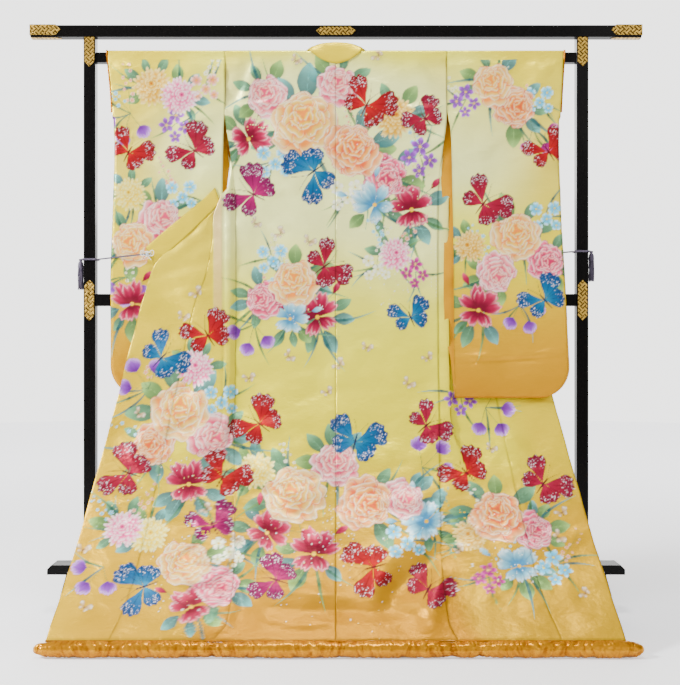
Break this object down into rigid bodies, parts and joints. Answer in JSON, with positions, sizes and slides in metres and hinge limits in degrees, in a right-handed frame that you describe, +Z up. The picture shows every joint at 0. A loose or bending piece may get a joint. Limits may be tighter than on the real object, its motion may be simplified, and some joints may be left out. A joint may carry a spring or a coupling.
{
  "type": "uchikake wedding kimono on a kimono stand",
  "caption": "Padded-hem wedding kimono hung back outwards on a lacquered stand, fronts drawn out to the posts by tasselled cords.",
  "frame": {"origin": "middle of the whole display's bounding box, at floor level", "axes": "+X to the viewer's right along the beam, +Y from the shown back of the kimono towards the rear, +Z up"},
  "size_m": [1.823, 0.8296, 1.7515],
  "materials": {
    "lacquer": "black lacquer, high gloss",
    "brass": "chased brass",
    "satin": "silk satin, yellow shading to gold, printed with flowers",
    "lining": "orange-gold satin",
    "cord": "twisted silk cord, dark purple",
    "clip": "white, glittering"
  },
  "bodies": {
    "root": {"back_left": "satin", "back_right": "satin", "front_left": "satin", "front_right": "satin", "okumi_left": "satin", "okumi_right": "satin", "sleeve_left": "satin", "sleeve_right": "satin", "collar_neck": "satin", "collar_left": "satin", "collar_right": "satin", "cuff_left": "lining", "cuff_right": "lining", "hem_roll": "lining", "top_beam": "lacquer", "shoulder_rod": "lacquer", "middle_rail": "lacquer", "base_board": "lacquer", "post_left": "lacquer", "post_right": "lacquer", "foot_left": "lacquer", "foot_right": "lacquer", "cap_left": "brass", "cap_right": "brass", "strip_left": "brass", "strip_right": "brass", "plate_centre_front": "brass", "plate_centre_back": "brass", "plate_top_left_front": "brass", "plate_top_left_back": "brass", "plate_top_right_front": "brass", "plate_top_right_back": "brass", "plate_mid_left_front": "brass", "plate_mid_left_back": "brass", "plate_mid_right_front": "brass", "plate_mid_right_back": "brass", "band_left": "cord", "band_right": "cord", "cord_left": "cord", "cord_right": "cord", "clip_left": "clip", "clip_right": "clip", "tassel_left": "cord", "tassel_right": "cord"}
  },
  "joints": []
}
